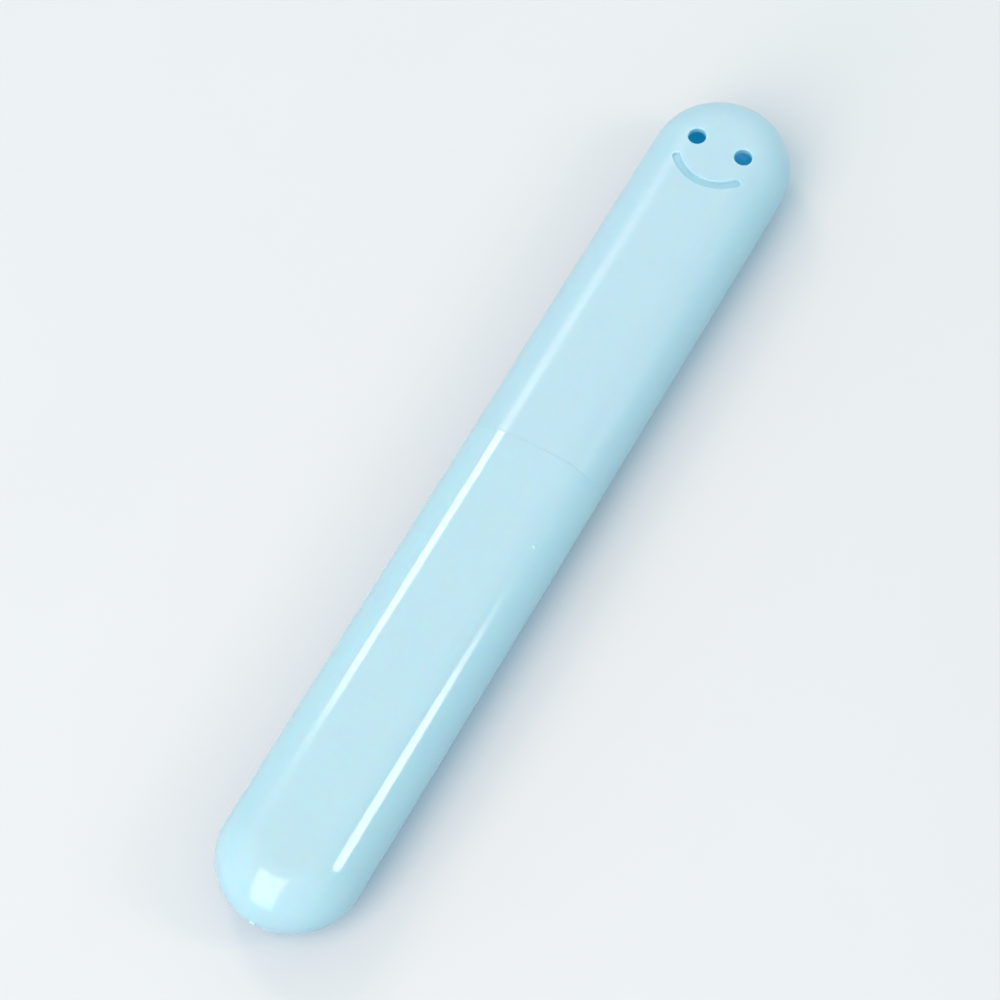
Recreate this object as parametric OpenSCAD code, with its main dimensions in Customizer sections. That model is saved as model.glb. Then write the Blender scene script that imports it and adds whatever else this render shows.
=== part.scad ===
// Travel toothbrush case: two thin moulded shells that push together on an oval neck.
// The case lies flat. X runs along its length towards the cap, Z is up, and the origin is on the
// ground below the middle of the case.

/* [Case] */
// Length over the two domed ends
case_l = 200; // [170:1:230]
// Width of the body
case_w = 29; // [26:0.5:36]
// Height of the body, which is twice the radius of its rounded sides
case_h = 19; // [17:0.5:22]
// Length of the cap outside, from its domed end to the seam
cap_l = 92; // [60:1:110]

/* [Shells] */
// Wall of the body
body_wall = 0.85; // [0.8:0.05:1.5]
// Wall of the neck, which goes on inside the cap
neck_wall = 0.65; // [0.6:0.05:1.2]
// Step down at the seam, from the surface of the body to that of the cap
seam_step = 0.09; // [0:0.01:0.2]
// Gap between the rims of the two shells
seam_gap = 0.04; // [0.02:0.02:0.2]
// Radius of the outer edge of both rims
rim_round = 0.1; // [0.1:0.05:0.5]
// Chamfer inside the mouth of the body, which leads the neck in
mouth_lead = 0.25; // [0.1:0.05:0.3]

/* [Neck] */
// Length of neck that stands in the body
neck_l = 13; // [9:0.5:18]
// Clearance all round between the neck and the body
neck_clearance = 0.1; // [0.08:0.01:0.25]
// Clearance left over the grip bead
bead_clearance = 0.05; // [0.02:0.01:0.08]
// Width of the grip bead
bead_w = 1.6; // [1:0.1:2.4]
// Distance from the free end of the neck to the middle of the bead
bead_from_end = 3; // [2:0.1:5]
// Chamfer round the free end of the neck
neck_lead = 0.35; // [0.2:0.05:0.5]

/* [Vent holes] */
// Diameter of each vent hole
vent_d = 3.6; // [3:0.1:4.5]
// Distance between the centres of the two holes
vent_pitch = 10.4; // [8:0.2:12]
// Distance from the domed end of the cap to the centres of the holes
vent_from_end = 14.7; // [13.5:0.1:17]
// Chamfer round each hole
vent_rim = 0.2; // [0.1:0.05:0.3]

/* [Groove] */
// Distance from the domed end of the cap to the centre of the groove's arc
groove_from_end = 15; // [13.5:0.1:17]
// Radius of the groove's centre line
groove_r = 8.8; // [7.6:0.1:10]
// Angle that the groove covers
groove_angle = 100; // [70:1:120]
// Width of the groove
groove_w = 1.7; // [1:0.1:2]
// Depth of the groove below the surface of the cap
groove_depth = 0.6; // [0.3:0.05:0.7]

/* [Moulding marks] */
// Diameter of the gate mark at the tip of each dome
gate_d = 1.2; // [0.8:0.1:2]
// Height of the gate mark above the dome
gate_h = 0.35; // [0.2:0.05:0.5]
// Bevel round the end of the gate mark
gate_bevel = 0.15; // [0.05:0.05:0.15]
// Diameter of the small pip on the shoulder of the body
pip_d = 0.9; // [0.6:0.1:1.4]
// Height of the pip above the surface
pip_h = 0.03; // [0.02:0.01:0.2]
// Distance from the seam to the pip
pip_from_seam = 18.4; // [14:0.2:30]
// Angle of the pip down from the top of the rounded side
pip_tilt = 33; // [0:1:60]

/* [Hidden] */
$fn = 96;
shell_colour = [0.77, 0.91, 0.95];
overrun = 1;                                  // how far cuts run past a surface
flat_half = (case_w - case_h) / 2;            // half the width of the flat top and underside
body_r = case_h / 2;                          // radius of the body's rounded sides
mid_z = body_r;                               // height of the long centre line
body_in_r = body_r - body_wall;               // the same radius inside the body
cap_r = body_r - seam_step;
neck_r = body_in_r - neck_clearance;
bead_r = body_in_r - bead_clearance;
cap_in_r = neck_r - neck_wall;
cap_wall = cap_r - cap_in_r;
cap_straight = cap_l - flat_half - cap_r;      // length of the cap between its dome and its rim
groove_floor_r = cap_r - groove_depth;
seam_x = case_l / 2 - cap_l;
body_l = case_l - cap_l - seam_gap;
pip_ball_r = (pip_d * pip_d / 4 + pip_h * pip_h) / (2 * pip_h);

// A square-ended half section with its outer edge rounded at the far end: radius, then length
module rounded_bar(r, l, edge) {
    square([r, l - edge]);
    square([r - edge, l]);
    translate([r - edge, l - edge]) intersection() {
        circle(edge);
        square([edge, edge]);
    }
}

// Carries a half section round an oval with flat sides, its length along X
module oval_sweep() {
    rotate([-90, 0, 0]) rotate([0, 0, -90])
        linear_extrude(2 * flat_half, center = true) {
            children();
            mirror([1, 0, 0]) children();
        }
    for (side = [0, 1])
        mirror([0, side, 0]) translate([0, flat_half, 0]) rotate([0, 90, 0])
            rotate_extrude(angle = 180) children();
}

// Domed end with a flat top, tip at the origin, that opens towards +X
module domed_end(r) {
    translate([flat_half + r, 0, 0]) rotate([0, 0, 90])
        rotate_extrude(angle = 180) {
            translate([0, -r]) square([flat_half, 2 * r]);
            translate([flat_half, 0]) intersection() {
                circle(r);
                translate([0, -r]) square([r, 2 * r]);
            }
        }
}

// Closed oval form from its dome at the origin to its square end at X = l; children draw its straight
// part as a half section that starts where the dome ends
module oval_form(r) {
    domed_end(r);
    translate([flat_half + r, 0, 0]) oval_sweep() children();
}

// Gate mark on the tip of a dome at the origin
module gate_mark(wall) {
    straight = gate_h - gate_bevel;
    translate([-straight, 0, 0]) rotate([0, 90, 0]) cylinder(d = gate_d, h = straight + wall / 2);
    translate([-gate_h, 0, 0]) rotate([0, 90, 0])
        cylinder(d1 = gate_d - 2 * gate_bevel, d2 = gate_d, h = gate_bevel);
}

module pip() {
    translate([seam_x - pip_from_seam + case_l / 2, -flat_half, 0]) rotate([pip_tilt, 0, 0])
        translate([0, 0, body_r + pip_h - pip_ball_r]) sphere(pip_ball_r);
}

// Straight part of the room inside the body, with the lead-in at its mouth
module body_room_section() {
    l = body_l - flat_half - body_r;
    square([body_in_r, l + overrun]);
    polygon([
        [body_in_r - overrun, l - mouth_lead - overrun],
        [body_in_r, l - mouth_lead],
        [body_in_r + mouth_lead + overrun, l + overrun],
        [body_in_r - overrun, l + overrun]
    ]);
}

module case_body() {
    color(shell_colour) translate([-case_l / 2, 0, mid_z]) difference() {
        union() {
            oval_form(body_r) rounded_bar(body_r, body_l - flat_half - body_r, rim_round);
            gate_mark(body_wall);
            pip();
        }
        translate([body_wall, 0, 0]) oval_form(body_in_r) body_room_section();
    }
}

// The neck beyond the rim of the cap, as radius against distance from the cap's dome
module neck_section() {
    l = cap_l + neck_l;
    bead_y = l - bead_from_end;
    translate([0, cap_l - overrun]) square([neck_r, neck_l - neck_lead + overrun]);
    polygon([
        [0, l - neck_lead], [neck_r, l - neck_lead], [neck_r - neck_lead, l], [0, l]
    ]);
    polygon([
        [0, bead_y - bead_w / 2], [neck_r, bead_y - bead_w / 2], [bead_r, bead_y - bead_w / 4],
        [bead_r, bead_y + bead_w / 4], [neck_r, bead_y + bead_w / 2], [0, bead_y + bead_w / 2]
    ]);
}

module vent_hole() {
    cylinder(d = vent_d, h = cap_r + overrun);
    translate([0, 0, cap_r - vent_rim])
        cylinder(d1 = vent_d, d2 = vent_d + 2 * (vent_rim + overrun), h = vent_rim + overrun);
}

// Curved bar that stands through the top of the cap where the groove is, about the origin
module groove_bar() {
    rotate([0, 0, -groove_angle / 2]) rotate_extrude(angle = groove_angle)
        translate([groove_r - groove_w / 2, 0]) square([groove_w, cap_r + overrun]);
    for (end = [-1, 1])
        rotate([0, 0, end * groove_angle / 2]) translate([groove_r, 0, 0])
            cylinder(d = groove_w, h = cap_r + overrun);
}

// What the groove takes out of the cap, with the dome of the cap towards -X
module groove_cut() {
    difference() {
        translate([groove_from_end, 0, 0]) groove_bar();
        translate([groove_depth, 0, 0]) oval_form(groove_floor_r) square([groove_floor_r, cap_straight]);
    }
}

module case_cap() {
    color(shell_colour) translate([case_l / 2, 0, mid_z]) mirror([1, 0, 0]) difference() {
        union() {
            oval_form(cap_r) rounded_bar(cap_r, cap_straight, rim_round);
            oval_sweep() neck_section();
            gate_mark(cap_wall);
        }
        translate([cap_wall, 0, 0]) oval_form(cap_in_r) square([cap_in_r, cap_l + neck_l]);
        for (side = [-1, 1])
            translate([vent_from_end, side * vent_pitch / 2, 0]) vent_hole();
        groove_cut();
    }
}

case_body();
case_cap();
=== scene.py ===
from math import atan2, cos, hypot, pi, radians, sin, sqrt

import bmesh
import bpy
from mathutils import Matrix, Vector


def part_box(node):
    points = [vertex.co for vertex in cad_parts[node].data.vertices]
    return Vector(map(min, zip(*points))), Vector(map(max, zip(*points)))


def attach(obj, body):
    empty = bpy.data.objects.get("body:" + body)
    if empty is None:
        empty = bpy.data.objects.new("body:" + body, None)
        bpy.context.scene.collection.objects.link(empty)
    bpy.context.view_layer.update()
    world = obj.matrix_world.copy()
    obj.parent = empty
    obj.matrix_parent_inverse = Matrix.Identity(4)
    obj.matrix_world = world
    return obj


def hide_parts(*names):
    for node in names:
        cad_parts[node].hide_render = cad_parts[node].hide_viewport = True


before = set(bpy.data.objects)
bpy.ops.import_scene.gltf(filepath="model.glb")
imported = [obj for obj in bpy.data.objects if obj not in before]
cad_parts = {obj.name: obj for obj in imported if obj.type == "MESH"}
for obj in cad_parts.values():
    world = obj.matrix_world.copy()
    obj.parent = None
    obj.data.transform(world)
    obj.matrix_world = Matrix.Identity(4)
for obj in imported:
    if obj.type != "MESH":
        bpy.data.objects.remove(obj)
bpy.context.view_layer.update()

bodyLow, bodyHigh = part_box("case_body")
capLow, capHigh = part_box("case_cap")

# The oval that everything follows: flat top and underside, round sides
midZ = bodyHigh.z / 2
bodyR = (bodyHigh.z - bodyLow.z) / 2
flatHalf = bodyHigh.y - bodyR
capR = (capHigh.z - capLow.z) / 2
bodyRimX = bodyHigh.x
neckEndX = capLow.x


# Camera at the photograph's angle
photoCamera = {
    "towards": Vector((-0.3966, -0.2189, 0.8915)),
    "right": Vector((0.4833, -0.8755, 0.0)),
    "distance": 0.8135,
    "lens": 150.8,
    "sensor": 36.0,
    "shiftX": -0.0144,
    "clip": (0.01, 50.0),
}


def addCamera():
    data = bpy.data.cameras.new("photoCamera")
    data.sensor_width = photoCamera["sensor"]
    data.lens = photoCamera["lens"]
    data.shift_x = photoCamera["shiftX"]
    data.clip_start, data.clip_end = photoCamera["clip"]
    camera = bpy.data.objects.new("photoCamera", data)
    bpy.context.scene.collection.objects.link(camera)
    back = photoCamera["towards"].normalized()
    right = photoCamera["right"].normalized()
    up = back.cross(right).normalized()
    right = up.cross(back)
    place = Vector((0.0, 0.0, midZ)) + back * photoCamera["distance"]
    turn = Matrix((right, up, back)).transposed()
    camera.matrix_world = Matrix.Translation(place) @ turn.to_4x4()
    bpy.context.scene.camera = camera


# Mesh tools shared by both shells. A face belongs to a wall when it lies within wallReach of it
meshing = {
    "weld": 1e-6,
    "lastWeld": 1e-7,
    "wallReach": 0.0003,
}


def ovalCentre(y):
    return max(-flatHalf, min(flatHalf, y))


def moveToOval(verts, x, r):
    for v in verts:
        centre = Vector((x, ovalCentre(v.co.y), midZ))
        out = Vector((0.0, v.co.y - centre.y, v.co.z - midZ)).normalized()
        v.co = centre + out * r


def pushLoop(bm, loop, x, r):
    made = bmesh.ops.extrude_edge_only(bm, edges=loop)["geom"]
    moveToOval([g for g in made if isinstance(g, bmesh.types.BMVert)], x, r)
    return [g for g in made if isinstance(g, bmesh.types.BMEdge)]


def openLoop(bm):
    return [e for e in bm.edges if e.is_boundary]


def addDome(bm, centreX, r, side, p):
    # half of the oval section from its top to its underside, spun a quarter turn and mirrored
    flatSteps = p["flatSteps"]
    dome = bmesh.new()
    tip = dome.verts.new((centreX, 0.0, midZ + r))
    for k in range(flatSteps):
        tip = bmesh.ops.extrude_vert_indiv(dome, verts=[tip])["verts"][0]
        tip.co.y += flatHalf / flatSteps
    for angle, steps in p["arcSteps"]:
        made = bmesh.ops.spin(dome, geom=[tip], cent=(centreX, flatHalf, midZ), axis=(1, 0, 0),
                              angle=-radians(angle), steps=steps, use_merge=False)
        tip = [g for g in made["geom_last"] if isinstance(g, bmesh.types.BMVert)][0]
    for k in range(flatSteps):
        tip = bmesh.ops.extrude_vert_indiv(dome, verts=[tip])["verts"][0]
        tip.co.y -= flatHalf / flatSteps
    last = dome.verts[:] + dome.edges[:]
    for angle, steps in p["turnSteps"]:
        made = bmesh.ops.spin(dome, geom=last, cent=(centreX, 0, midZ), axis=(0, 0, 1),
                              angle=radians(angle) * side, steps=steps, use_merge=False)
        last = made["geom_last"]
    bmesh.ops.mirror(dome, geom=dome.verts[:] + dome.edges[:] + dome.faces[:], axis="Y",
                     merge_dist=meshing["weld"])
    bmesh.ops.remove_doubles(dome, verts=dome.verts, dist=meshing["weld"])
    mesh = bpy.data.meshes.new("dome")
    dome.to_mesh(mesh)
    dome.free()
    bm.from_mesh(mesh)
    bpy.data.meshes.remove(mesh)
    bmesh.ops.remove_doubles(bm, verts=bm.verts, dist=meshing["weld"])


def quarter(x0, r0, x1, r1, bulgeFirst, steps):
    # quarter of an ellipse from (x0, r0) to (x1, r1), leaving along x when bulgeFirst, else along r
    out = []
    for k in range(1, steps + 1):
        a = pi / 2 * k / steps
        u, w = (sin(a), 1 - cos(a)) if bulgeFirst else (1 - cos(a), sin(a))
        out.append((x0 + (x1 - x0) * u, r0 + (r1 - r0) * w))
    return out


def ringFeature(bm, feature, rings, close=True, fullShade=None):
    # cuts the faces round a spine out of a wall and builds the feature up in rings, each at an offset
    # from the spine and a height above the wall; each ring also records painted shade for recesses, full at
    # the depth fullShade
    shade = bm.verts.layers.float["recessShade"]
    inside = [f for f in bm.faces if feature["covers"](f.calc_center_median())]
    marked = set(inside)
    loop = [e for e in bm.edges if len(e.link_faces) == 2 and len(marked.intersection(e.link_faces)) == 1]
    bmesh.ops.delete(bm, geom=inside, context="FACES_ONLY")
    loose = [e for e in bm.edges if not e.link_faces]
    bmesh.ops.delete(bm, geom=loose, context="EDGES")
    stray = [v for v in bm.verts if not v.link_edges]
    bmesh.ops.delete(bm, geom=stray, context="VERTS")
    for offset, height in rings:
        made = bmesh.ops.extrude_edge_only(bm, edges=loop)["geom"]
        for v in [g for g in made if isinstance(g, bmesh.types.BMVert)]:
            spot = feature["toFlat"](v.co)
            spine = feature["spine"](spot)
            v.co = feature["toWall"](spine + (spot - spine).normalized() * offset, height)
            v[shade] = min(abs(height) / fullShade, 1.0) if fullShade else 0.0
        loop = [g for g in made if isinstance(g, bmesh.types.BMEdge)]
    if close:
        bmesh.ops.triangle_fill(bm, use_beauty=True, use_dissolve=False, edges=loop)
    return loop


def startShell():
    bm = bmesh.new()
    # this layer carries the painted shade of the recesses, set by ringFeature
    bm.verts.layers.float.new("recessShade")
    return bm


def finishMesh(bm, name, materials):
    bmesh.ops.remove_doubles(bm, verts=bm.verts, dist=meshing["lastWeld"])
    bmesh.ops.recalc_face_normals(bm, faces=bm.faces)
    for f in bm.faces:
        f.smooth = True
    mesh = bpy.data.meshes.new(name)
    bm.to_mesh(mesh)
    bm.free()
    for m in materials:
        mesh.materials.append(m)
    piece = bpy.data.objects.new(name, mesh)
    bpy.context.scene.collection.objects.link(piece)
    return piece


def roundDots(at):
    return lambda spot: at.copy()


# Gate mark on the tip of each dome. Its skirt is the ring of wall beyond its foot, and the wall is cut away
# as far as clear beyond its radius
gateMark = {
    "radius": 0.0006,
    "height": 0.00035,
    "bevel": 0.00015,
    "foot": 0.0001,
    "skirt": 0.0003,
    "clear": 0.0005,
    "coreShare": 0.4,
    "steps": 4,
}


def gateFeature(centreX, r, side):
    # the gate mark's own flat view is (y, z), looking along the case at the tip of the dome
    def toWall(spot, height):
        plan = flatHalf + sqrt(r * r - (spot.y - midZ) ** 2)
        return Vector((centreX + side * (sqrt(plan * plan - spot.x * spot.x) + height), spot.x, spot.y))

    def covers(co):
        off = hypot(co.y, co.z - midZ)
        outside = hypot(co.x - centreX, co.y) > flatHalf + r - meshing["wallReach"]
        return (co.x - centreX) * side > r and off < gateMark["radius"] + gateMark["clear"] and outside

    at = Vector((0.0, midZ))
    return {
        "covers": covers,
        "toFlat": lambda co: Vector((co.y, co.z)),
        "spine": lambda spot: at.copy(),
        "toWall": toWall,
    }


def gateRings():
    g = gateMark
    radius, height, bevel, foot = g["radius"], g["height"], g["bevel"], g["foot"]
    out = [(radius + g["skirt"], 0.0), (radius + foot, 0.0)]
    out += quarter(radius + foot, 0.0, radius, foot, True, g["steps"])
    out += [(radius, height - bevel)]
    out += quarter(radius, height - bevel, radius - bevel, height, False, g["steps"])
    out += [(radius * g["coreShare"], height)]
    return out


# Body shell: dome, straight sides, rounded rim, mouth with its lead-in, inner wall, pip on its shoulder.
# Steps along the arc of the section and round the turn of the dome are pairs of degrees and count
bodyShell = {
    "wall": 0.00085,
    "rimRound": 0.0001,
    "mouthLead": 0.00025,
    "lipSoft": 0.00003,
    "pipR": 0.00045,
    "pipCut": 0.00025,
    "pipClear": 0.0011,
    "pipStep": 0.00015,
    "pipShares": (0.9, 0.75, 0.6, 0.4, 0.2),
    "pipH": 0.00003,
    "pipX": -0.0104,
    "pipTilt": radians(33),
    "rowStep": 0.004,
    "rimSteps": 10,
    "flatSteps": 10,
    "arcSteps": [(27, 9), (12, 16), (45, 15), (12, 20), (84, 28)],
    "turnSteps": [(82, 38), (8, 12)],
}


def rows(x0, x1, step):
    n = max(1, round(abs(x1 - x0) / step))
    return [x0 + (x1 - x0) * (k + 1) / n for k in range(n)]


def pipFeature(p):
    def toWall(spot, height):
        a = spot.y / bodyR
        return Vector((spot.x, -flatHalf - (bodyR + height) * sin(a), midZ + (bodyR + height) * cos(a)))

    def toFlat(co):
        return Vector((co.x, bodyR * atan2(-flatHalf - co.y, co.z - midZ)))

    def covers(co):
        outside = co.y < -flatHalf and hypot(co.y + flatHalf, co.z - midZ) > bodyR - meshing["wallReach"]
        return outside and (toFlat(co) - at).length < p["pipR"] + p["pipCut"]

    at = Vector((p["pipX"], bodyR * p["pipTilt"]))
    return {
        "covers": covers,
        "toFlat": toFlat,
        "spine": lambda spot: at.copy(),
        "toWall": toWall,
    }


def ballRings(radius, height, shares):
    # rings over a slice of a ball, from its foot to near its top
    ball = (radius * radius + height * height) / (2 * height)
    return [(radius * s, sqrt(ball * ball - (radius * s) ** 2) - ball + height) for s in shares]


def buildBody(materials):
    p = bodyShell
    innerR = bodyR - p["wall"]
    centreX = bodyLow.x + gateMark["height"] + flatHalf + bodyR
    bm = startShell()
    addDome(bm, centreX, bodyR, 1, p)
    loop = openLoop(bm)
    edge = bodyRimX - p["rimRound"]
    near, far = p["pipX"] - p["pipClear"], p["pipX"] + p["pipClear"]
    stations = rows(centreX, near, p["rowStep"]) + rows(near, far, p["pipStep"])
    stations += rows(far, edge - p["rimRound"], p["rowStep"]) + [edge]
    for x in stations:
        loop = pushLoop(bm, loop, x, bodyR)
    for x, r in quarter(edge, bodyR, bodyRimX, bodyR - p["rimRound"], True, p["rimSteps"]):
        loop = pushLoop(bm, loop, x, r)
    lip = innerR + p["mouthLead"]
    loop = pushLoop(bm, loop, bodyRimX, lip + p["lipSoft"])
    loop = pushLoop(bm, loop, bodyRimX - p["lipSoft"], lip)
    leadEnd = bodyRimX - p["mouthLead"]
    loop = pushLoop(bm, loop, leadEnd, innerR)
    for x in [leadEnd - p["lipSoft"]] + rows(leadEnd - p["lipSoft"], centreX, p["rowStep"]):
        loop = pushLoop(bm, loop, x, innerR)
    addDome(bm, centreX, innerR, 1, p)
    ringFeature(bm, gateFeature(centreX, bodyR, -1), gateRings())
    foot = p["pipR"]
    rings = [(foot + p["pipStep"], 0.0), (foot, 0.0)] + ballRings(foot, p["pipH"], p["pipShares"])
    ringFeature(bm, pipFeature(p), rings)
    return finishMesh(bm, "bodyShell", materials)


# Cap shell: dome with the vent holes and the groove, rounded rim, neck with its bead, inner wall
capShell = {
    "neckWall": 0.00065,
    "neckClearance": 0.0001,
    "beadClearance": 0.00005,
    "beadW": 0.0016,
    "beadFromEnd": 0.003,
    "neckLead": 0.00035,
    "seamGap": 0.00004,
    "rimRound": 0.0001,
    "cornerSoft": 0.0001,
    "ventR": 0.0018,
    "ventY": 0.0052,
    "ventFromEnd": 0.0147,
    "ventRound": 0.0003,
    # depth at which the painted shade of the vent walls is full
    "ventShade": 0.0004,
    "grooveFromEnd": 0.015,
    "grooveR": 0.0088,
    "grooveHalf": radians(50),
    "grooveW": 0.0017,
    "grooveDepth": 0.0006,
    "grooveEdge": 0.00008,
    "grooveFloorR": 0.0002,
    "grooveDraft": 0.00008,
    # depth at which the painted shade of the groove is full
    "grooveShade": 0.001,
    "grooveShares": (0.7, 0.4, 0.15),
    "rowStep": 0.004,
    "faceStep": 0.00025,
    "rimSteps": 10,
    "cornerSteps": 3,
    "leadSteps": 5,
    "beadSteps": 8,
    "brimSteps": 6,
    "edgeSteps": 5,
    "floorSteps": 6,
    "flatSteps": 20,
    "arcSteps": [(30, 20), (54, 18), (12, 20), (84, 28)],
    "turnSteps": [(82, 38), (8, 12)],
}


def topFeature(centreX, r, floorZ, spine, reach):
    # seen from above: the flat view is (x, y), and the wall is the top of an oval of radius r
    def wallZ(spot):
        y = hypot(max(spot.x - centreX, 0.0), spot.y)
        d = max(abs(y) - flatHalf, 0.0)
        return midZ + sqrt(max(r * r - d * d, 0.0))

    def covers(co):
        spot = Vector((co.x, co.y))
        onWall = abs(co.z - wallZ(spot)) < meshing["wallReach"]
        return co.z > floorZ and onWall and (spot - spine(spot)).length < reach

    return {
        "covers": covers,
        "toFlat": lambda co: Vector((co.x, co.y)),
        "spine": spine,
        "toWall": lambda spot, height: Vector((spot.x, spot.y, wallZ(spot) + height)),
    }


def grooveSpine(arcX, p):
    def spine(spot):
        turn = atan2(spot.y, arcX - spot.x)
        turn = max(-p["grooveHalf"], min(p["grooveHalf"], turn))
        return Vector((arcX - p["grooveR"] * cos(turn), p["grooveR"] * sin(turn)))
    return spine


def buildCap(materials):
    p = capShell
    endX = capHigh.x - gateMark["height"]
    centreX = endX - flatHalf - capR
    ventX = endX - p["ventFromEnd"]
    arcX = endX - p["grooveFromEnd"]
    neckR = bodyR - bodyShell["wall"] - p["neckClearance"]
    beadR = bodyR - bodyShell["wall"] - p["beadClearance"]
    innerR = neckR - p["neckWall"]
    rimX = bodyRimX + p["seamGap"]
    faceX = arcX - p["grooveR"] - p["grooveW"]
    bm = startShell()
    addDome(bm, centreX, capR, -1, p)
    loop = openLoop(bm)
    stations = rows(centreX, faceX, p["faceStep"]) + rows(faceX, rimX + 2 * p["rimRound"], p["rowStep"])
    for x in stations + [rimX + p["rimRound"]]:
        loop = pushLoop(bm, loop, x, capR)
    for x, r in quarter(rimX + p["rimRound"], capR, rimX, capR - p["rimRound"], True, p["rimSteps"]):
        loop = pushLoop(bm, loop, x, r)
    soft = p["cornerSoft"]
    loop = pushLoop(bm, loop, rimX, neckR + soft)
    for x, r in quarter(rimX, neckR + soft, rimX - soft, neckR, False, p["cornerSteps"]):
        loop = pushLoop(bm, loop, x, r)
    beadX = neckEndX + p["beadFromEnd"]
    half = p["beadW"] / 2
    for x in rows(rimX - soft, beadX + half, p["rowStep"]):
        loop = pushLoop(bm, loop, x, neckR)
    for k in range(1, p["beadSteps"] + 1):
        a = pi * k / p["beadSteps"]
        loop = pushLoop(bm, loop, beadX + half * cos(a), neckR + (beadR - neckR) * sin(a))
    loop = pushLoop(bm, loop, neckEndX + p["neckLead"] + soft, neckR)
    lead = p["neckLead"]
    for x, r in quarter(neckEndX + lead, neckR, neckEndX, neckR - lead, True, p["leadSteps"]):
        loop = pushLoop(bm, loop, x, r)
    loop = pushLoop(bm, loop, neckEndX, innerR + soft)
    for x, r in quarter(neckEndX, innerR + soft, neckEndX + soft, innerR, False, p["cornerSteps"]):
        loop = pushLoop(bm, loop, x, r)
    for x in rows(neckEndX + soft, faceX, p["rowStep"]) + rows(faceX, centreX, p["faceStep"]):
        loop = pushLoop(bm, loop, x, innerR)
    addDome(bm, centreX, innerR, -1, p)
    ringFeature(bm, gateFeature(centreX, capR, 1), gateRings())
    for side in (-1, 1):
        at = Vector((ventX, side * p["ventY"]))
        brim = p["ventR"] + p["ventRound"]
        outer = [(brim + soft, 0.0), (brim, 0.0)]
        outer += quarter(brim, 0.0, p["ventR"], -p["ventRound"], True, p["brimSteps"])
        outer += [(p["ventR"], -p["ventRound"] - soft)]
        reach = brim + soft + p["faceStep"]
        top = ringFeature(bm, topFeature(centreX, capR, midZ + innerR, roundDots(at), reach), outer,
                          close=False, fullShade=p["ventShade"])
        inner = [(p["ventR"] + 2 * soft, 0.0), (p["ventR"] + soft, 0.0)]
        inner += quarter(p["ventR"] + soft, 0.0, p["ventR"], soft, True, p["cornerSteps"])
        inner += [(p["ventR"], 2 * soft)]
        reach = p["ventR"] + 2 * soft + p["faceStep"]
        under = ringFeature(bm, topFeature(centreX, innerR, midZ, roundDots(at), reach), inner,
                            close=False, fullShade=2 * soft)
        bmesh.ops.bridge_loops(bm, edges=top + under)
    wide, edge, deep = p["grooveW"] / 2, p["grooveEdge"], p["grooveDepth"]
    floorEdge, floorR = wide - p["grooveDraft"], p["grooveFloorR"]
    rings = [(wide + edge + soft, 0.0), (wide + edge, 0.0)]
    rings += quarter(wide + edge, 0.0, wide, -edge, True, p["edgeSteps"])
    rings += [(floorEdge, floorR - deep)]
    rings += quarter(floorEdge, floorR - deep, floorEdge - floorR, -deep, False, p["floorSteps"])
    rings += [((floorEdge - floorR) * share, -deep) for share in p["grooveShares"]]
    reach = wide + edge + soft + p["faceStep"]
    ringFeature(bm, topFeature(centreX, capR, midZ + innerR, grooveSpine(arcX, p), reach), rings,
                fullShade=p["grooveShade"])
    return finishMesh(bm, "capShell", materials)


# Node tools

mixSockets = {"first": 6, "second": 7, "result": 2}  # the colour sockets of a Mix node


def put(tree, kind, sockets=None, **settings):
    # one node with its settings, where each socket is given a value or the output that feeds it
    node = tree.nodes.new("ShaderNode" + kind)
    for name, value in settings.items():
        setattr(node, name, value)
    for name, value in (sockets or {}).items():
        if isinstance(value, bpy.types.NodeSocket):
            tree.links.new(value, node.inputs[name])
        else:
            node.inputs[name].default_value = value
    return node


def sums(tree, operation, first, second):
    return put(tree, "Math", {0: first, 1: second}, operation=operation).outputs[0]


def noise(tree, place, scale, detail, twist=0.0):
    sockets = {"Vector": place, "Scale": scale, "Detail": detail, "Distortion": twist}
    return put(tree, "TexNoise", sockets).outputs["Fac"]


def spread(tree, value, low, high, toLow=0.0, toHigh=1.0):
    sockets = {"Value": value, "From Min": low, "From Max": high, "To Min": toLow, "To Max": toHigh}
    return put(tree, "MapRange", sockets, interpolation_type="SMOOTHSTEP").outputs["Result"]


def blendColours(tree, share, first, second):
    sockets = {"Factor": share, mixSockets["first"]: first, mixSockets["second"]: second}
    return put(tree, "Mix", sockets, data_type="RGBA").outputs[mixSockets["result"]]


def startGroup(name, inputs, outputs):
    # inputs: name to value, where None is a vector; outputs: name to socket type
    tree = bpy.data.node_groups.new(name, "ShaderNodeTree")
    for title, value in inputs.items():
        kind = {type(None): "NodeSocketVector", tuple: "NodeSocketColor"}.get(type(value), "NodeSocketFloat")
        socket = tree.interface.new_socket(name=title, in_out="INPUT", socket_type=kind)
        if value is not None:
            socket.default_value = value
    for title, kind in outputs.items():
        tree.interface.new_socket(name=title, in_out="OUTPUT", socket_type=kind)
    return tree, tree.nodes.new("NodeGroupInput").outputs, tree.nodes.new("NodeGroupOutput").inputs


def placeGroup(tree, group, sockets):
    node = tree.nodes.new("ShaderNodeGroup")
    node.node_tree = group
    for name, value in sockets.items():
        if isinstance(value, bpy.types.NodeSocket):
            tree.links.new(value, node.inputs[name])
        else:
            node.inputs[name].default_value = value
    return node.outputs


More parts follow.
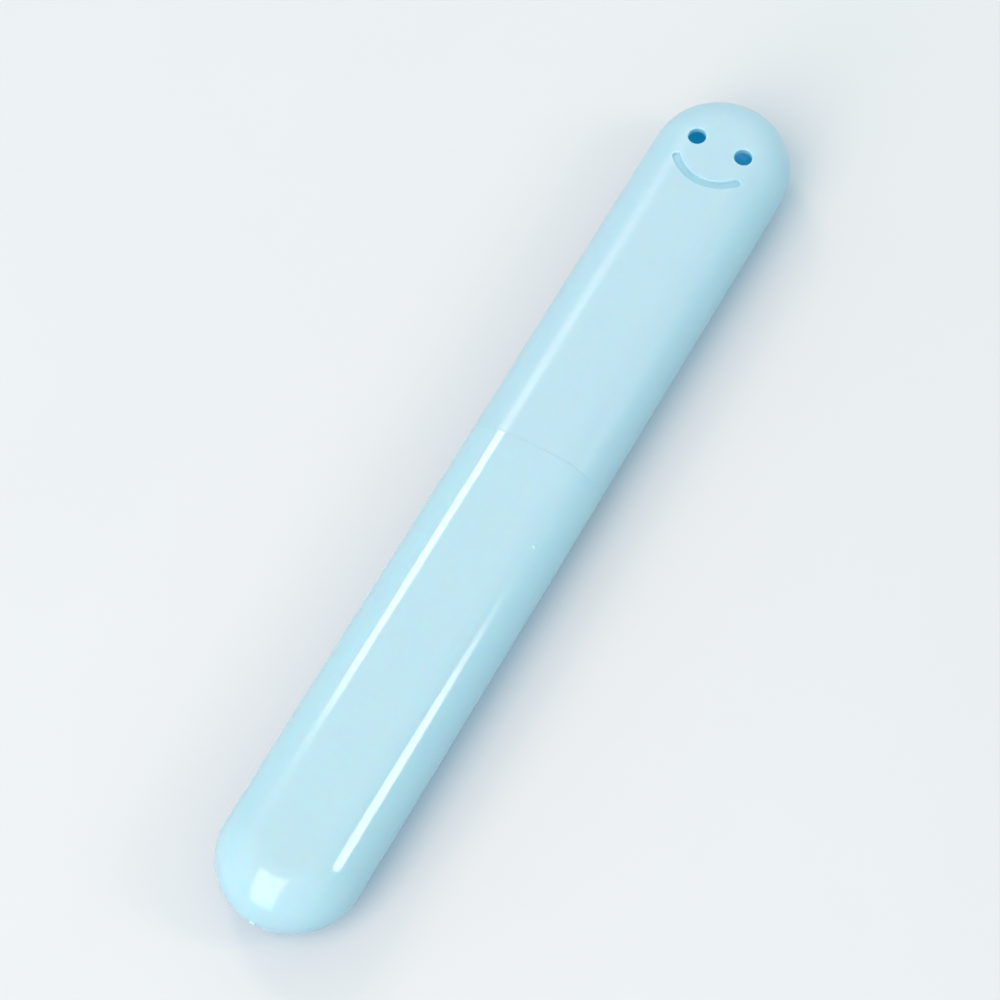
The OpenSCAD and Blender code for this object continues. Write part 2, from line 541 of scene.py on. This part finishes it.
# How each effect is drawn: scales are in patches or hairs per metre, and a range is the part of a noise that
# counts
effects = {
    "hazeScale": 70.0,
    "hazeRange": (0.35, 0.65),
    "restScale": 900.0,
    "restRange": (0.45, 0.6),
    "hairSets": ((0.12, 115.0), (-0.3, 98.0), (1.2, 158.0)),
    "hairStretch": (90.0, 2600.0, 2600.0),
    "hairRange": (0.70, 0.76),
    "patchRange": (0.50, 0.62),
    "streakStretch": (0.35, 1.0, 1.0),
    "streakDetail": 4.0,
    "streakTwist": 0.6,
    "streakRange": (0.3, 0.7),
    "raggedScale": 2500.0,
    "raggedRange": (0.3, 0.7),
    "raggedReach": (0.75, 1.25),
    "fadeCore": 0.5,
    "patchDetail": 3.0,
    "fineDetail": 1.0,
}


# What moulding leaves: slow waves in the skin, and a fine grain from the tool
def makeMouldSkin():
    tree, given, out = startGroup(
        "mouldSkin",
        {"Place": None, "Wave Scale": 60.0, "Wave Height": 0.00001, "Grain Scale": 2500.0,
         "Grain Height": 0.0},
        {"Height": "NodeSocketFloat"})
    waves = noise(tree, given["Place"], given["Wave Scale"], effects["fineDetail"])
    waves = sums(tree, "MULTIPLY", waves, given["Wave Height"])
    grain = noise(tree, given["Place"], given["Grain Scale"], effects["fineDetail"])
    grain = sums(tree, "MULTIPLY", grain, given["Grain Height"])
    tree.links.new(sums(tree, "ADD", waves, grain), out["Height"])
    return tree


# What handling leaves: a patchy haze, hairline scuffs along the case, more of them low down where it rests
def makeHandling():
    tree, given, out = startGroup(
        "handling",
        {"Place": None, "Roughness": 0.2, "Haze": 0.03, "Scuffs": 0.2, "Rest Height": 0.002},
        {"Roughness": "NodeSocketFloat"})
    haze = noise(tree, given["Place"], effects["hazeScale"], effects["patchDetail"])
    haze = spread(tree, haze, *effects["hazeRange"], -1.0, 1.0)
    rough = sums(tree, "ADD", given["Roughness"], sums(tree, "MULTIPLY", haze, given["Haze"]))
    height = put(tree, "SeparateXYZ", {"Vector": given["Place"]}).outputs["Z"]
    low = spread(tree, height, 0.0, given["Rest Height"], 1.0, 0.0)
    rubbed = noise(tree, given["Place"], effects["restScale"], effects["patchDetail"])
    scuffs = sums(tree, "MULTIPLY", low, spread(tree, rubbed, *effects["restRange"]))
    # each set of hairs is turned a little, then drawn out along its own direction
    for turn, patchScale in effects["hairSets"]:
        turned = put(tree, "Mapping", {"Vector": given["Place"], "Rotation": (0.0, 0.0, turn)}).outputs[0]
        lines = put(tree, "Mapping", {"Vector": turned, "Scale": effects["hairStretch"]}).outputs[0]
        hairs = spread(tree, noise(tree, lines, 1.0, effects["fineDetail"]), *effects["hairRange"])
        patch = noise(tree, given["Place"], patchScale, effects["fineDetail"])
        patch = spread(tree, patch, *effects["patchRange"])
        scuffs = sums(tree, "MAXIMUM", scuffs, sums(tree, "MULTIPLY", hairs, patch))
    worn = sums(tree, "MULTIPLY", scuffs, given["Scuffs"])
    tree.links.new(sums(tree, "ADD", rough, worn), out["Roughness"])
    return tree


# How the pigment lies: faint streaks that flowed in from the gate
def makePigment():
    tree, given, out = startGroup(
        "pigment",
        {"Place": None, "Colour": (0.6, 0.8, 0.9, 1.0), "Deep Colour": (0.5, 0.75, 0.87, 1.0), "Streaks": 0.3,
         "Scale": 60.0},
        {"Colour": "NodeSocketColor"})
    flow = put(tree, "Mapping", {"Vector": given["Place"], "Scale": effects["streakStretch"]}).outputs[0]
    streaks = noise(tree, flow, given["Scale"], effects["streakDetail"], effects["streakTwist"])
    streaks = spread(tree, streaks, *effects["streakRange"])
    share = sums(tree, "MULTIPLY", streaks, given["Streaks"])
    tree.links.new(blendColours(tree, share, given["Colour"], given["Deep Colour"]), out["Colour"])
    return tree


# A pale blush where plastic was torn at the gate, and painted light along the seam rim: 1 inside the radius
# of a spot, with a ragged fade
def makeBlushAndSeamLight():
    tree, given, out = startGroup(
        "blushAndSeamLight",
        {"Place": None, "Spot": None, "Stretch": None, "Radius": 0.001},
        {"Mask": "NodeSocketFloat"})
    away = put(tree, "VectorMath", {0: given["Place"], 1: given["Spot"]}, operation="SUBTRACT")
    away = put(tree, "VectorMath", {0: away.outputs[0], 1: given["Stretch"]}, operation="MULTIPLY")
    away = put(tree, "VectorMath", {0: away.outputs[0]}, operation="LENGTH").outputs["Value"]
    ragged = noise(tree, given["Place"], effects["raggedScale"], effects["patchDetail"])
    ragged = spread(tree, ragged, *effects["raggedRange"], *effects["raggedReach"])
    edge = sums(tree, "MULTIPLY", given["Radius"], ragged)
    core = sums(tree, "MULTIPLY", edge, effects["fadeCore"])
    tree.links.new(spread(tree, away, core, edge, 1.0, 0.0), out["Mask"])
    return tree


# Pale blue moulded plastic, slightly translucent
plastic = {
    "blushColour": (0.68, 0.82, 0.88, 1.0),
    # painted light: a lighter tint laid along the seam rim, so that the shade in the seam line looks fainter
    "seamLightColour": (0.56, 0.78, 0.87, 1.0),
    # painted shade: the darker, bluer colour that the walls and floors of the vents and the groove take on
    "recessShadeColour": (0.36, 0.66, 0.77, 1.0),
    "ior": 1.49,
    "shine": 0.7,
    "depth": (0.25, 0.7, 1.0),
    "letsThrough": (0.005, 0.54, 0.71, 1.0),
    "streaks": 0.25,
    "gateBlush": 0.0011,
    # how far the painted light along the seam rim reaches
    "seamLightReach": 0.00022,
}

finishes = {
    "bodyPlastic": {"colour": (0.56, 0.745, 0.835, 1.0), "deepColour": (0.535, 0.73, 0.825, 1.0),
                    "depthScale": 0.0015, "roughness": 0.10, "haze": 0.02, "scuffs": 0.08,
                    "waveScale": 55.0, "waveHeight": 0.00002, "grainScale": 1800.0, "grainHeight": 0.0000002},
    "capPlastic": {"colour": (0.56, 0.73, 0.81, 1.0), "deepColour": (0.535, 0.715, 0.80, 1.0),
                   "depthScale": 0.001, "roughness": 0.30, "haze": 0.02, "scuffs": 0.08,
                   "waveScale": 70.0, "waveHeight": 0.00002, "grainScale": 2200.0, "grainHeight": 0.0000003},
}


def plasticMaterial(name, groups, gateX, rimX):
    finish = finishes[name]
    material = bpy.data.materials.new(name)
    material.use_nodes = True
    tree = material.node_tree
    place = put(tree, "TexCoord").outputs["Object"]
    skin = placeGroup(tree, groups["mouldSkin"], {
        "Place": place, "Wave Scale": finish["waveScale"], "Wave Height": finish["waveHeight"],
        "Grain Scale": finish["grainScale"], "Grain Height": finish["grainHeight"]})
    marks = placeGroup(tree, groups["handling"], {
        "Place": place, "Roughness": finish["roughness"], "Haze": finish["haze"],
        "Scuffs": finish["scuffs"]})
    flow = placeGroup(tree, groups["pigment"], {
        "Place": place, "Colour": finish["colour"], "Deep Colour": finish["deepColour"],
        "Streaks": plastic["streaks"]})
    gate = placeGroup(tree, groups["blushAndSeamLight"], {
        "Place": place, "Spot": (gateX, 0.0, midZ), "Stretch": (1.0, 1.0, 1.0),
        "Radius": plastic["gateBlush"]})
    # painted light along the seam rim, lightening the shade of the seam line
    rim = placeGroup(tree, groups["blushAndSeamLight"], {
        "Place": place, "Spot": (rimX, 0.0, 0.0), "Stretch": (1.0, 0.0, 0.0), "Radius": plastic["seamLightReach"]})
    bump = put(tree, "Bump", {"Height": skin["Height"], "Distance": 1.0})
    # painted shade: recesses (the vent walls and the groove) are tinted darker and bluer, by the depth that
    # each ring records
    recessShade = put(tree, "Attribute", attribute_name="recessShade").outputs["Fac"]
    colour = blendColours(tree, recessShade, flow["Colour"], plastic["recessShadeColour"])
    colour = blendColours(tree, rim["Mask"], colour, plastic["seamLightColour"])
    colour = blendColours(tree, gate["Mask"], colour, plastic["blushColour"])
    shader = tree.nodes["Principled BSDF"]
    tree.links.new(colour, shader.inputs["Base Color"])
    tree.links.new(marks["Roughness"], shader.inputs["Roughness"])
    tree.links.new(bump.outputs["Normal"], shader.inputs["Normal"])
    shader.inputs["IOR"].default_value = plastic["ior"]
    shader.inputs["Specular IOR Level"].default_value = plastic["shine"]
    shader.inputs["Subsurface Weight"].default_value = 1.0
    shader.inputs["Subsurface Radius"].default_value = plastic["depth"]
    shader.inputs["Subsurface Scale"].default_value = finish["depthScale"]
    # the thin walls let some light from the lamps through, tinted, so the inside glows
    through = put(tree, "BsdfTransparent", {"Color": plastic["letsThrough"]})
    path = put(tree, "LightPath")
    wall = put(tree, "MixShader", {0: path.outputs["Is Shadow Ray"], 1: shader.outputs["BSDF"],
                                   2: through.outputs["BSDF"]})
    tree.links.new(wall.outputs["Shader"], tree.nodes["Material Output"].inputs["Surface"])
    return material


addCamera()
groups = {"mouldSkin": makeMouldSkin(), "handling": makeHandling(), "pigment": makePigment(),
          "blushAndSeamLight": makeBlushAndSeamLight()}
bodyPlastic = plasticMaterial("bodyPlastic", groups, bodyLow.x, bodyRimX)
capPlastic = plasticMaterial("capPlastic", groups, capHigh.x, bodyRimX + capShell["seamGap"])
print("plastics", len(groups))
body = buildBody([bodyPlastic])
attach(body, "body")
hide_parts("case_body")
print("body shell", len(body.data.vertices))
cap = buildCap([capPlastic])
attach(cap, "cap")
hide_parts("case_cap")
print("cap shell", len(cap.data.vertices))


# Plain pale floor. It looks pale itself, but the light that it sends back up at the case is held down, so
# that the sides keep their shading
floorLook = {
    "size": 4.0,
    "colour": (0.82, 0.785, 0.80, 1.0),
    "deepColour": (0.805, 0.77, 0.785, 1.0),
    "bounceColour": (0.10, 0.27, 0.33, 1.0),
    "mottleScale": 8.0,
    "roughness": 0.6,
    "haze": 0.05,
}


def addFloor():
    bm = bmesh.new()
    bmesh.ops.create_grid(bm, x_segments=1, y_segments=1, size=floorLook["size"])
    material = bpy.data.materials.new("paleFloor")
    material.use_nodes = True
    tree = material.node_tree
    shader = tree.nodes["Principled BSDF"]
    place = put(tree, "TexCoord").outputs["Object"]
    mottle = placeGroup(tree, groups["pigment"], {
        "Place": place, "Colour": floorLook["colour"], "Deep Colour": floorLook["deepColour"],
        "Scale": floorLook["mottleScale"], "Streaks": 1.0})
    haze = placeGroup(tree, groups["handling"], {
        "Place": place, "Roughness": floorLook["roughness"], "Haze": floorLook["haze"], "Scuffs": 0.0})
    path = put(tree, "LightPath").outputs
    seen = sums(tree, "MAXIMUM", path["Is Camera Ray"], path["Is Glossy Ray"])
    seen = sums(tree, "MAXIMUM", seen, path["Is Transmission Ray"])
    colour = blendColours(tree, seen, floorLook["bounceColour"], mottle["Colour"])
    tree.links.new(colour, shader.inputs["Base Color"])
    tree.links.new(haze["Roughness"], shader.inputs["Roughness"])
    floor = finishMesh(bm, "floor", [material])


addFloor()


# Soft studio light: each lamp's direction from the case, distance, size and the glow of its face
studio = {
    "horizon": (0.40, 0.95, 1.11, 1.0),
    "zenith": (0.52, 0.49, 0.42, 1.0),
    "lampColour": (1.02, 0.90, 0.885),
    "lamps": [
        {"name": "leftStrip", "towards": (0.39, 0.585, 0.71), "distance": 1.2, "along": (1, 0, 0),
         "size": (0.26, 0.34), "glow": 6.0, "shape": "RECTANGLE"},
        {"name": "frontPanel", "towards": (-0.785, 0.154, 0.60), "distance": 1.5, "along": (0, 1, 0),
         "size": (0.85, 2.2), "glow": 3.1, "shape": "RECTANGLE"},
        {"name": "rightLamp", "towards": (0.245, -0.755, 0.608), "distance": 1.2, "along": (1, 0, 0),
         "size": (0.24, 0.45), "glow": 6.8, "shape": "ELLIPSE"},
        {"name": "backPanel", "towards": (0.80, 0.10, 0.60), "distance": 1.5, "along": (0, 1, 0),
         "size": (1.2, 1.0), "glow": 0.4, "shape": "RECTANGLE"},
    ],
}


def addLamp(lamp):
    data = bpy.data.lights.new(lamp["name"], "AREA")
    data.shape = lamp["shape"]
    data.size, data.size_y = lamp["size"]
    data.color = studio["lampColour"]
    area = lamp["size"][0] * lamp["size"][1]
    if lamp["shape"] == "ELLIPSE":
        area *= pi / 4
    data.energy = lamp["glow"] * pi * area
    piece = bpy.data.objects.new(lamp["name"], data)
    bpy.context.scene.collection.objects.link(piece)
    back = Vector(lamp["towards"]).normalized()
    along = Vector(lamp["along"])
    right = (along - back * along.dot(back)).normalized()
    up = back.cross(right)
    turn = Matrix((right, up, back)).transposed()
    piece.matrix_world = Matrix.Translation(Vector((0, 0, midZ)) + back * lamp["distance"]) @ turn.to_4x4()
    piece.visible_camera = False


for lamp in studio["lamps"]:
    addLamp(lamp)


def addWorld():
    # cool light from low down, dimmer and warmer overhead
    world = bpy.data.worlds.new("studio")
    bpy.context.scene.world = world
    world.use_nodes = True
    tree = world.node_tree
    place = put(tree, "TexCoord").outputs["Generated"]
    height = put(tree, "SeparateXYZ", {"Vector": place}).outputs["Z"]
    fade = put(tree, "MapRange", {"Value": height}).outputs["Result"]
    sky = blendColours(tree, fade, studio["horizon"], studio["zenith"])
    tree.links.new(sky, tree.nodes["Background"].inputs["Color"])


addWorld()
print("studio", len(studio["lamps"]), "lamps")

bpy.context.scene.view_settings.view_transform = "Standard"
